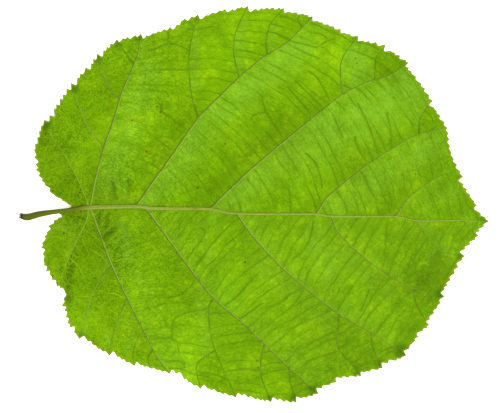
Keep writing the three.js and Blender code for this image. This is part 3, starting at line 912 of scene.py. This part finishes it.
def lay_out_map(mesh, is_upper):
    """A flat map of the leaf's two faces, one above the other, for whoever paints or bakes it."""
    point = values_of(mesh.loops, "vertex_index", kind=np.int32)
    corners = values_of(mesh.polygons, "loop_total", kind=np.int32)
    normals = np.repeat(values_of(mesh.polygons, "normal", 3), corners, 0)
    first = np.append(0, np.cumsum(corners)[:-1])
    upper_share = np.add.reduceat(is_upper[point].astype(float), first) / corners
    upper_share = np.repeat(upper_share, corners)
    low, high = np.array(LEAF_LOW), np.array(LEAF_HIGH)
    scale = (1 - 3 * MAP_MARGIN) / (2 * (high[1] - low[1]))
    uv = MAP_MARGIN + (values_of(mesh.vertices, "co", 3)[point, :2] - low[:2]) * scale
    skirt = (upper_share > 0) & (upper_share < 1) & ~is_upper[point]
    uv[skirt] += normals[skirt, :2] * SKIRT_WIDTH * scale
    uv[upper_share == 0, 1] += 0.5 * (1 - MAP_MARGIN)
    mesh.uv_layers.new(name="OFBake").data.foreach_set("uv", uv.astype(np.float32).ravel())


def thicken(sheet):
    """Turns a flat sheet into a closed slab, one unit thick."""
    deselect_all()
    sheet.select_set(True)
    bpy.context.view_layer.objects.active = sheet
    bpy.ops.object.mode_set(mode="EDIT")
    bpy.ops.mesh.select_all(action="SELECT")
    bpy.ops.mesh.extrude_region_move(TRANSFORM_OT_translate={"value": (0, 0, 1)})
    bpy.ops.mesh.select_all(action="SELECT")
    bpy.ops.mesh.normals_make_consistent(inside=False)
    bpy.ops.object.mode_set(mode="OBJECT")


def build_leaf(sizes):
    """The whole leaf as one closed mesh."""
    leaf_plan = LeafPlan(sizes)
    leaf = flat_sheet("hazel_leaf_grown", leaf_plan.mesh_points(), len(leaf_plan.outline))
    thicken(leaf)
    mesh = leaf.data
    places = values_of(mesh.vertices, "co", 3).astype(float)
    is_upper = places[:, 2] > 0.5
    plan, point = np.unique(np.round(places[:, :2], 4), axis=0, return_inverse=True)
    point = point.ravel()
    points = LeafPoints(leaf_plan, plan)
    upper, lower = points.faces()
    corners = to_metres(places[:, :2], np.where(is_upper, upper[point], lower[point]))
    mesh.vertices.foreach_set("co", corners.astype(np.float32).ravel())
    details = {name: values[point] for name, values in points.details().items()}
    details["ribbed_face"] = is_upper.astype(float)
    for name, values in details.items():
        kind, field = ("FLOAT", "value") if values.ndim == 1 else ("FLOAT_VECTOR", "vector")
        attribute = mesh.attributes.new(name, kind, "POINT")
        attribute.data.foreach_set(field, values.astype(np.float32).ravel())
    mesh.update()
    lay_out_map(mesh, is_upper)
    bpy.ops.object.shade_smooth_by_angle(angle=math.radians(50))
    return leaf


# ---------------------------------------------------------------------------------------------
# The finish
# ---------------------------------------------------------------------------------------------


class Num:
    """A number that varies over a surface: a shader socket that takes part in arithmetic."""

    def __init__(self, graph, socket):
        self.graph = graph
        self.socket = socket

    def _with(self, operation, *others):
        inputs = {i: other for i, other in enumerate((self, *others))}
        return Num(self.graph, self.graph.add("Math", {"operation": operation}, inputs).outputs[0])

    def __add__(self, other):
        return self._with("ADD", other)

    def __sub__(self, other):
        return self._with("SUBTRACT", other)

    def __rsub__(self, other):
        return (self * -1) + other

    def __mul__(self, other):
        return self._with("MULTIPLY", other)

    __radd__, __rmul__ = __add__, __mul__

    def between(self, low, high):
        """0 where this is at low, 1 at high, and held at 0 and 1 beyond them. low may exceed high."""
        settings = {"interpolation_type": "SMOOTHSTEP"}
        if low < high:
            node = self.graph.add("MapRange", settings, {0: self, 1: low, 2: high})
            return Num(self.graph, node.outputs[0])
        return 1 - self.between(high, low)

    def at_least(self, other):
        return self._with("MAXIMUM", other)


class Graph:
    """A material's nodes."""

    def __init__(self, name):
        self.material = bpy.data.materials.new(name)
        self.material.use_nodes = True
        self.tree = self.material.node_tree
        self.shader = self.tree.nodes["Principled BSDF"]
        self.position = self.add("TexCoord").outputs["Object"]

    def add(self, kind, settings=None, inputs=None):
        """Adds a node of a kind, makes its settings, and sets or links its inputs."""
        node = self.tree.nodes.new("ShaderNode" + kind)
        for name, value in (settings or {}).items():
            setattr(node, name, value)
        self.feed(node, inputs or {})
        return node

    def feed(self, node, inputs):
        """Sets a node's inputs to values, or links them to sockets."""
        for name, value in inputs.items():
            value = value.socket if isinstance(value, Num) else value
            if isinstance(value, bpy.types.NodeSocket):
                self.tree.links.new(value, node.inputs[name])
            else:
                node.inputs[name].default_value = value

    def detail(self, name):
        """A number stored at the mesh's points."""
        return Num(self, self.add("Attribute", {"attribute_name": name}).outputs["Fac"])

    def noise(self, size, detail=2.0, stretch=(1, 1, 1), at=None):
        """Noise from 0 to 1 with features of about this size in metres."""
        place = self.add("Mapping", {}, {"Vector": at or self.position, "Scale": stretch})
        settings = {"noise_dimensions": "3D"}
        inputs = {"Vector": place.outputs[0], "Scale": 1 / size, "Detail": detail}
        return Num(self, self.add("TexNoise", settings, inputs).outputs["Fac"])

    def cells(self, length, width, at):
        """The distance to the nearest wall of cells of about this length and width, in cell sizes."""
        place = self.add("VectorMath", {"operation": "MULTIPLY"}, {0: at, 1: (1 / length, 1 / width, 1)})
        inputs = {"Vector": place.outputs[0], "Scale": 1}
        return Num(self, self.add("TexVoronoi", {"feature": "DISTANCE_TO_EDGE"}, inputs).outputs[0])

    def swayed(self, at, size, amount):
        """Positions moved about by noise, so that patterns on them waver."""
        noise = self.add("TexNoise", {}, {"Vector": at, "Scale": 1 / size}).outputs["Color"]
        centred = self.add("VectorMath", {"operation": "SUBTRACT"}, {0: noise, 1: (0.5, 0.5, 0.5)})
        moved = self.add("VectorMath", {"operation": "SCALE"}, {0: centred.outputs[0], "Scale": amount})
        return self.add("VectorMath", {}, {0: at, 1: moved.outputs[0]}).outputs[0]

    def mix(self, first, second, share):
        """One colour passing into another as share goes from 0 to 1."""
        settings = {"data_type": "RGBA"}
        inputs = {6: self.colour(first), 7: self.colour(second), 0: share}
        return self.add("Mix", settings, inputs).outputs[2]

    def scaled(self, colour, share):
        """A colour made lighter or darker by a number."""
        settings = {"operation": "SCALE"}
        return self.add("VectorMath", settings, {0: self.colour(colour), "Scale": share}).outputs[0]

    @staticmethod
    def colour(value):
        return value if isinstance(value, bpy.types.NodeSocket) else (*value, 1)


# Where the leaf's finish changes along it, in metres from its centre: from nothing to full.
ZONES = {
    "base": (-0.018, -0.036),
    "lobe": (-0.037, -0.043),
    "inner": (-0.005, -0.045),
    "outer": (-0.03, 0.0),
    "pale_vein": (-0.014, -0.023),
    "browned": (0.03, -0.02),
    "stalk_end": (-0.046, -0.0555),
    "scar": (-0.0574, -0.0583),
}
RIGHT_HALF = (0.001, -0.003)
# Noises: the size of their features in metres, and their detail.
NOISES = {"coarse": (0.012, 3), "medium": (0.0035, 4), "fine": (0.0011, 3), "grain": (0.00035, 2)}
# Nets of the finest veins: length and width of a mesh, size and reach of its sway, all in metres,
# and where its lines fade in, in shares of a mesh.
NETS = {
    "net": (0.001, 0.0021, 0.0015, 0.0005, (0.17, 0.04)),
    "fine_net": (0.0006, 0.0009, 0.0008, 0.0002, (0.2, 0.03)),
    "lobe_net": (0.0015, 0.0015, 0.002, 0.0006, (0.1, 0.02)),
}
# Where each line fades in, in shares of its radius from its middle.
EDGES = {
    "rung": (2, 0.7),
    # Painted shade beside a cross vein.
    "rung_shade": (5, 0.5),
    "strong": (2.2, 0.6),
    "strong_shade": (5, 1.5),
    "fork": (1.4, 0.6),
    "rib": (1.12, 0.75),
    # Painted shade on a side rib, and the painted shadow beside it.
    "rib_shade": (0.1, 0.7),
    "beside_rib": (2.6, 1.1),
    "rod": (1.12, 0.95),
    "sunk_rib": (1.6, 0.3),
    "sunk_midrib": (1.4, 0.2),
}
BUMP_HEIGHT = 0.00005


class LeafFinish(Graph):
    """Fresh green blade with paler ribs, a net of fine veins, painted light, shade and sheen, and an olive
    stalk.
    """

    def __init__(self, name, colours):
        super().__init__(name)
        self.colours = colours
        places = self.add("SeparateXYZ", {}, {0: self.position}).outputs
        self.x, self.y, _ = (Num(self, place) for place in places)
        self.wander = self.noise(0.006, 3) * 0.016
        self.base = (self.x + self.wander).between(*ZONES["base"])
        self.lobe, self.inner, self.outer = (
            self.x.between(*ZONES[zone]) for zone in ("lobe", "inner", "outer")
        )
        self.coarse, self.medium, self.fine, self.grain = (
            self.noise(*noise) for noise in NOISES.values()
        )
        self.midrib, self.side, self.fork, self.flank, self.stalk_side = (
            self.detail(detail) for detail in ("midrib", "side", "fork", "flank", "stalk_side")
        )

        # The nets, and stripes of painted light and shade from the quilting, are laid across the gaps
        # between the ribs.
        weave = self.add("Attribute", {"attribute_name": "weave"}).outputs["Vector"]
        lobe_net = self.lines("lobe_net", self.position)
        self.net = self.lines("net", weave) * (1 - self.lobe) + lobe_net * self.lobe
        self.fine_net = self.lines("fine_net", weave)
        swayed = self.swayed(weave, 0.004, 0.0015)
        self.quilt_shading = self.noise(0.002, 3, stretch=(1, 0.25, 1), at=swayed)

    def lines(self, name, at):
        """The lines of one of the nets."""
        length, width, sway, reach, edges = NETS[name]
        return self.cells(length, width, self.swayed(at, sway, reach)).between(*edges)

    def open_blade(self):
        """Fresh and yellowed patches, with painted shade and a painted bluish sheen beside the ribs."""
        colours, medium = self.colours, self.medium
        fresh = (self.coarse * 0.3 + medium * 0.7).between(0.32, 0.72)
        blade = self.mix(colours.blade, colours.fresh, fresh)
        blade = self.mix(blade, colours.fresh, self.detail("fresh") * medium.between(0.3, 0.6) * 0.9)
        # Painted sheen on the flank of each side rib away from the stalk, the flank that faces the lamp.
        beside_rib = self.flank * (1 - self.stalk_side) * (1 - self.base) * 0.2
        self.painted_sheen = (self.detail("painted_sheen") * (1 - self.net * 0.4)).at_least(beside_rib)
        sheen_share = (0.72 + (medium - 0.5) * 0.9 + (self.quilt_shading - 0.5) * 1.5).between(0, 1)
        blade = self.mix(blade, colours.painted_sheen, self.painted_sheen * sheen_share)
        # Painted shade in folds, by the joint and on the stalk side of each side rib, which faces away from
        # the lamp.
        shade_share = (0.75 + (medium - 0.5) * 2).between(0, 1)
        self.deep = self.detail("deep").at_least(self.flank * self.stalk_side * 0.35) * shade_share
        blade = self.mix(blade, colours.deep, self.deep)
        yellow = (self.fine * 0.35 + medium * 0.4 + self.coarse * 0.25).between(0.53, 0.62)
        return self.mix(blade, colours.yellow, yellow * 0.5)

    def with_nets(self, blade):
        """The blade's painted light and shade, its speckle, a little darkening at the base, and its nets:
        pale by the joint, dark elsewhere.
        """
        base, inner = self.base, self.inner
        speckle = (self.fine - 0.5) * (0.3 + inner * 0.2) + (self.grain - 0.5) * (0.65 + inner * 0.8)
        # Painted light and shade of the quilting, stronger further out.
        speckle = speckle + (self.quilt_shading - 0.5) * (0.15 + self.outer * 0.25)
        # Painted shade along the folds and puckers.
        crease_shade = 1 - self.detail("crease_shade") * 0.45
        # The tone carries the painted light and shade of broad places and folds, and the speckle.
        self.tone = (self.detail("light") + (self.medium - 0.5) * 0.3 + speckle) * crease_shade
        pale = (0.1 + base * 0.35 + self.deep * 0.5 + (self.coarse - 0.5) * 1.2).between(0, 1)
        dark_net = (self.net * 0.11 + self.fine_net * 0.1) * (1 - pale)
        # Less of the dark net where the painted sheen lies.
        dark_net = dark_net * (1 - self.painted_sheen * 0.5) * (1 + inner)
        blade = self.scaled(blade, self.tone - dark_net - base * 0.05)
        pale_net = self.net.at_least(self.fine_net * 0.6) * pale
        strength = 0.3 + base * 0.45 - self.lobe * 0.2
        return self.mix(blade, self.colours.pale_vein, pale_net * strength)

    def with_cross_veins(self, blade):
        """Cross veins that come and go: pale by the joint, dark further out, with painted shade beside them.
        """
        colours, cross, strong = self.colours, self.detail("cross"), self.detail("strong")
        self.patchy = self.noise(0.004, 3).between(0.42, 0.6)
        rung = 0.12 + 0.6 * self.patchy + 0.35 * self.flank * self.stalk_side
        rung = cross.between(*EDGES["rung"]) * rung
        right_half = self.y.between(*RIGHT_HALF) * (1 - self.lobe)
        rung = rung * (0.4 + 0.6 * self.outer.at_least(right_half))
        line = strong.between(*EDGES["strong"]) * (0.6 + 0.4 * self.patchy)
        # Painted shade in soft bands beside the cross veins.
        soft = 0.2 + 0.8 * self.noise(0.009, 2).between(0.35, 0.6)
        soft = cross.between(*EDGES["rung_shade"]) * soft
        shade = (soft * (1 - self.base)).at_least(strong.between(*EDGES["strong_shade"]) * 0.9)
        blade = self.mix(blade, colours.deep, shade * 0.32)
        pale = (self.x + self.wander).between(*ZONES["pale_vein"])
        vein = self.mix(colours.dark_vein_and_shade, colours.pale_vein, pale)
        return self.mix(blade, vein, rung.at_least(line) * 0.85)

    def with_ribs(self, blade):
        """Forks and side ribs, with painted shade on each side rib's stalk side and a painted shadow beside
        it.
        """
        colours, side, lobe = self.colours, self.side, self.lobe
        fork_share = (0.35 + self.base * 0.4) * self.patchy.at_least(self.base)
        fork_tone = self.mix(colours.dark_vein_and_shade, colours.rib, fork_share)
        blade = self.mix(blade, fork_tone, self.fork.between(*EDGES["fork"]) * 0.75)
        browned = self.noise(0.003, 3).between(0.5, 0.66) * 0.5
        rib = self.mix(colours.rib, colours.brown_rib, browned)
        rib = self.mix(rib, colours.pale_vein, lobe * 0.5)
        # Painted shade on the flank of the rib that faces away from the lamp.
        rib_shade = self.mix(colours.dark_vein_and_shade, colours.brown_rib, 0.65)
        shaded = self.stalk_side * side.between(*EDGES["rib_shade"]) * (1 - lobe * 0.8)
        rib = self.mix(rib, rib_shade, shaded)
        # Painted shadow on the blade beside the rib.
        beside = self.stalk_side * side.between(*EDGES["beside_rib"]) * (1 - lobe) * 0.75
        blade = self.mix(blade, colours.dark_vein_and_shade, beside)
        return self.mix(blade, rib, side.between(*EDGES["rib"]) * (0.95 - lobe * 0.3))

    def with_marks(self, blade):
        """Painted shade on the teeth at the rib ends, a thin light margin and brown flecks."""
        self.dark = (self.detail("tooth_shade") + (self.fine - 0.5) * 0.9).between(0.25, 0.95)
        blade = self.mix(blade, self.colours.tooth_shade, self.dark * 0.85)
        margin = self.detail("margin").between(0.3, 0.95)
        blade = self.mix(blade, self.colours.margin, margin * 0.7)
        fleck = (self.detail("fleck") + (self.grain - 0.5)).between(0.25, 0.75)
        return self.mix(blade, self.colours.fleck, fleck * 0.8)

    def smooth_face(self):
        """The face that lies on the table: deeper green, with its ribs only a little paler."""
        side, fork = (line.between(*EDGES["sunk_rib"]) for line in (self.side, self.fork))
        ribs = side.at_least(fork * 0.6).at_least(self.midrib.between(*EDGES["sunk_midrib"]))
        face = self.mix(self.colours.smooth_face, self.colours.rib, ribs * 0.55)
        # The same painted light and shade as on the ribbed face.
        return self.scaled(face, self.tone)

    def rod(self, stalk):
        """The midrib, and the olive stalk with its darker end and torn scar."""
        colours, x = self.colours, self.x
        streaks = self.noise(0.0006, 3, stretch=(0.15, 1, 1))
        browned = (streaks * 0.8 + 0.25 - self.midrib * 0.4).between(0.45, 0.75)
        browned = browned * x.between(*ZONES["browned"])
        rod = self.mix(colours.midrib, colours.brown_rib, browned * 0.5)
        end = x.between(*ZONES["stalk_end"])
        stalk_tone = self.mix(colours.stalk, colours.stalk_end, end * 0.8)
        stalk_tone = self.mix(stalk_tone, colours.brown_rib, streaks.between(0.4, 0.7) * 0.5)
        rod = self.mix(rod, stalk_tone, stalk)
        return self.mix(rod, colours.scar, x.between(*ZONES["scar"]))

    def finish(self):
        """Puts both faces and the rod together, and returns the material."""
        blade = self.with_cross_veins(self.with_nets(self.open_blade()))
        blade = self.with_marks(self.with_ribs(blade))
        face, stalk = self.detail("ribbed_face"), self.detail("stalk")
        both = self.mix(self.smooth_face(), blade, face)
        on_rod = self.midrib.between(*EDGES["rod"]) * face.at_least(stalk)
        height = self.net * 0.3 + self.fine_net * 0.2 + self.grain * 0.3 + self.fine * 0.5
        inputs = {"Height": height * BUMP_HEIGHT, "Distance": 1.0, "Strength": 1.0}
        self.feed(
            self.shader,
            {
                "Base Color": self.mix(both, self.rod(stalk), on_rod),
                "Roughness": 0.6 + (self.medium - 0.5) * 0.2 + self.dark * 0.1 - on_rod * 0.08,
                "Normal": self.add("Bump", {}, inputs).outputs[0],
                "Specular IOR Level": 0.02,
            },
        )
        return self.material


def plain_finish(name, colour, glow):
    """A matt finish for the stage, lit from behind a little like a light table."""
    g = Graph(name)
    shine = {"Emission Color": (*colour, 1), "Emission Strength": glow}
    g.feed(g.shader, {"Base Color": (*colour, 1), "Roughness": 0.9, "Specular IOR Level": 0.0, **shine})
    return g.material


# ---------------------------------------------------------------------------------------------
# The add-on
# ---------------------------------------------------------------------------------------------


def colour_property(name, description, default):
    """A colour that a user can change."""
    return FloatVectorProperty(
        name=name, description=description, default=default, subtype="COLOR", min=0, max=1
    )


def length_property(name, description, default):
    """A length that a user can change."""
    return FloatProperty(name=name, description=description, default=default, unit="LENGTH", min=0)


class LeafSizes(bpy.types.PropertyGroup):
    """Sizes of the leaf's fine relief."""

    blade_thickness: length_property(
        "Blade thickness", "Thickness of the blade between its veins", 0.00026
    )
    rim_thickness: length_property("Rim thickness", "Thickness of the blade at its margin", 0.00012)
    quilt_depth: length_property(
        "Quilting", "How deep the blade sinks between its cross veins", 0.00015
    )


class LeafColours(bpy.types.PropertyGroup):
    """Colours of the leaf's parts."""

    blade: colour_property("Blade", "The blade's usual green", (0.1061, 0.2448, 0.00018))
    yellow: colour_property("Yellow green", "Small yellowed spots", (0.165, 0.3, 0.001))
    fresh: colour_property("Fresh green", "The yellower green of some patches", (0.1373, 0.288, 0.00054))
    # Painted sheen: the bluish gloss on flanks that face the lamp.
    painted_sheen: colour_property("Bloom", "The bluish green beside the ribs", (0.122, 0.272, 0.0125))
    # Painted shade: the darker green of folds, of the joint and of flanks turned from the lamp.
    deep: colour_property("Deep green", "The deeper green on the stalk side of ribs", (0.055, 0.125, 0.0))
    pale_vein: colour_property("Pale vein", "Cross veins near the base", (0.16, 0.305, 0.0018))
    # Also the painted shade on the side ribs and the painted shadow beside them.
    dark_vein_and_shade: colour_property("Dark vein", "Cross veins further out", (0.060, 0.131, 0.002))
    rib: colour_property("Rib", "Side ribs and their forks", (0.19, 0.262, 0.042))
    brown_rib: colour_property("Browned rib", "Ribs and midrib where they have browned", (0.09, 0.09, 0.010))
    midrib: colour_property("Midrib", "The midrib", (0.195, 0.255, 0.035))
    stalk: colour_property("Stalk", "The stalk", (0.085, 0.115, 0.005))
    stalk_end: colour_property("Stalk end", "The swollen end of the stalk", (0.058, 0.070, 0.005))
    scar: colour_property("Scar", "Where the stalk came off its twig", (0.02, 0.011, 0.010))
    margin: colour_property("Margin", "The thin edge of the blade", (0.17, 0.235, 0.006))
    # Painted shade on the teeth where the margin bends down.
    tooth_shade: colour_property("Dark tooth", "The teeth where ribs end", (0.036, 0.092, 0.001))
    fleck: colour_property("Fleck", "Small brown spots", (0.10, 0.035, 0.006))
    smooth_face: colour_property("Smooth face", "The leaf's other face", (0.045, 0.13, 0.005))


# The floor's size and its gap under the leaf are in metres, the camera's sensor in millimetres.
FLOOR_SIZE = 4
FLOOR_GAP = 0.00002
SENSOR_WIDTH = 36


class StageSettings(bpy.types.PropertyGroup):
    """The stage's camera and lights."""

    view_width: length_property("View width", "Width that the camera sees", 0.125)
    focal_length: FloatProperty(
        name="Focal length", description="Camera lens in millimetres", default=600, unit="CAMERA"
    )
    centre: FloatVectorProperty(
        name="View centre",
        description="What the camera is over, from the leaf's centre",
        default=(-0.00103, -0.00052),
        size=2,
        subtype="XYZ",
        unit="LENGTH",
    )
    key_strength: FloatProperty(name="Key light", description="Strength of the lamp", default=2.94)
    key_angle: FloatProperty(
        name="Key softness", description="Apparent size of the lamp", default=0.5, subtype="ANGLE"
    )
    key_turn: FloatVectorProperty(
        name="Key direction",
        description="Turn of the lamp from straight down",
        default=(0.34, 0.24, 0),
        subtype="EULER",
    )
    fill_strength: FloatProperty(
        name="Fill light", description="Strength of the light from all round", default=1.0
    )


class HAZEL_OT_add_leaf(bpy.types.Operator):
    """Add the hazel leaf: blade, ribs, veins and stalk in one piece"""

    bl_idname = "hazel.add_leaf"
    bl_label = "Add leaf"

    def execute(self, context):
        leaf = build_leaf(context.scene.hazel_sizes)
        finish = LeafFinish("hazel_leaf_finish", context.scene.hazel_colours)
        leaf.data.materials.append(finish.finish())
        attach(leaf, "root")
        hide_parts("hazel_leaf")
        return {"FINISHED"}


class HAZEL_OT_add_stage(bpy.types.Operator):
    """Add a pale floor, soft light and a camera that looks straight down on the leaf"""

    bl_idname = "hazel.add_stage"
    bl_label = "Add stage"

    def execute(self, context):
        settings = context.scene.hazel_stage
        deselect_all()
        bpy.ops.mesh.primitive_plane_add(size=FLOOR_SIZE, location=(0, 0, LEAF_LOW.z - FLOOR_GAP))
        floor = context.object
        floor.name = "floor"
        floor.data.materials.append(plain_finish("floor_finish", (0.95, 0.95, 0.95), 0.5))

        bpy.ops.object.light_add(type="SUN", location=(0, -1, 1), rotation=settings.key_turn)
        key = context.object.data
        key.energy = settings.key_strength
        key.angle = settings.key_angle
        world = bpy.data.worlds.new("soft_light")
        world.use_nodes = True
        background = world.node_tree.nodes["Background"]
        background.inputs["Color"].default_value = (1, 1, 1, 1)
        background.inputs["Strength"].default_value = settings.fill_strength
        context.scene.world = world
        context.scene.view_settings.view_transform = "Standard"

        centre = (LEAF_LOW + LEAF_HIGH) / 2
        bpy.ops.object.camera_add(rotation=(0, 0, 0))
        camera = context.object
        camera.data.lens = settings.focal_length
        camera.data.sensor_width = SENSOR_WIDTH
        distance = settings.view_width * camera.data.lens / camera.data.sensor_width
        camera.location = (
            centre.x + settings.centre[0],
            centre.y + settings.centre[1],
            LEAF_LOW.z + distance,
        )
        camera.data.clip_start = 0.01
        context.scene.camera = camera
        return {"FINISHED"}


class HAZEL_PT_panel(bpy.types.Panel):
    """Lists the leaf's sizes, colours and operators"""

    bl_label = "Hazel leaf"
    bl_idname = "HAZEL_PT_panel"
    bl_space_type = "VIEW_3D"
    bl_region_type = "UI"
    bl_category = "Hazel leaf"

    def draw(self, context):
        for operator, names in (
            (HAZEL_OT_add_leaf, ("hazel_sizes", "hazel_colours")),
            (HAZEL_OT_add_stage, ("hazel_stage",)),
        ):
            box = self.layout.box()
            box.operator(operator.bl_idname)
            for name in names:
                settings = getattr(context.scene, name)
                for prop in settings.bl_rna.properties:
                    if not prop.is_readonly and prop.identifier != "name":
                        box.prop(settings, prop.identifier)


CLASSES = (
    LeafSizes,
    LeafColours,
    StageSettings,
    HAZEL_OT_add_leaf,
    HAZEL_OT_add_stage,
    HAZEL_PT_panel,
)


SETTINGS = {"hazel_sizes": LeafSizes, "hazel_colours": LeafColours, "hazel_stage": StageSettings}


def register():
    for cls in CLASSES:
        bpy.utils.register_class(cls)
    for name, group in SETTINGS.items():
        setattr(bpy.types.Scene, name, PointerProperty(type=group))


def unregister():
    for name in SETTINGS:
        delattr(bpy.types.Scene, name)
    for cls in reversed(CLASSES):
        bpy.utils.unregister_class(cls)


def main():
    register()
    bpy.ops.hazel.add_leaf()
    bpy.ops.hazel.add_stage()


if __name__ == "__main__":
    main()
